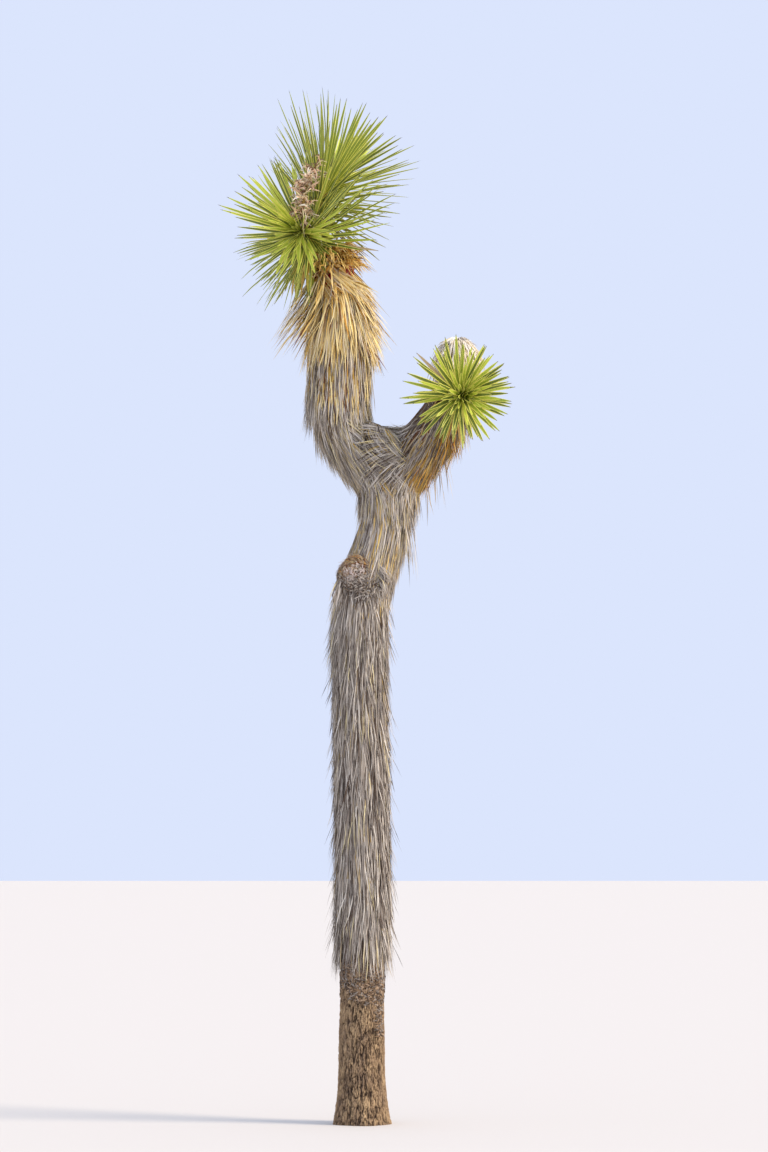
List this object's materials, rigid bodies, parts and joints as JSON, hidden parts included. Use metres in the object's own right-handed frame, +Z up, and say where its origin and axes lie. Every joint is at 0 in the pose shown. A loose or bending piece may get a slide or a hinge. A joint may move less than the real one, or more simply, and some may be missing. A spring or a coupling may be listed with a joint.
{
  "type": "joshua tree",
  "caption": "Young joshua tree with a bare checked foot, a trunk thatched in dead leaves, one fork, live dagger-leaf rosettes and a golden dead-leaf skirt.",
  "frame": {"origin": "centre of the flat cut under the trunk, at ground level", "axes": "+Z up the trunk, +X towards the right bough as the picture shows the tree, +Y away from the viewer"},
  "size_m": [1.1964, 0.902, 4.1647],
  "materials": {
    "bark": "dull brown bark, checked into small plates",
    "scar_bark": "weathered grey-brown stub with a curled fibrous rim",
    "wood": "dull dark fibrous wood under the dead leaves",
    "grey_thatch": "dry weathered grey dead leaves",
    "golden_thatch": "dry golden dead leaves",
    "green_leaf": "stiff yellow-green leaves with a slight waxy sheen",
    "bleached_leaf": "bleached papery dead leaves",
    "dried_flower": "dry tan flower stalk with curled bracts"
  },
  "bodies": {
    "root": {"trunk": "bark", "branch_scar": "scar_bark", "left_bough_lower": "wood", "left_bough_upper": "wood", "right_bough": "wood", "trunk_thatch": "grey_thatch", "upper_trunk_thatch": "grey_thatch", "fork_thatch": "grey_thatch", "left_lower_thatch": "grey_thatch", "left_upper_thatch": "grey_thatch", "right_bough_thatch": "grey_thatch", "golden_skirt": "golden_thatch", "bleached_head": "bleached_leaf", "lower_rosette": "green_leaf", "upper_rosette": "green_leaf", "right_rosette": "green_leaf", "dried_flower_stalk": "dried_flower"}
  },
  "joints": []
}
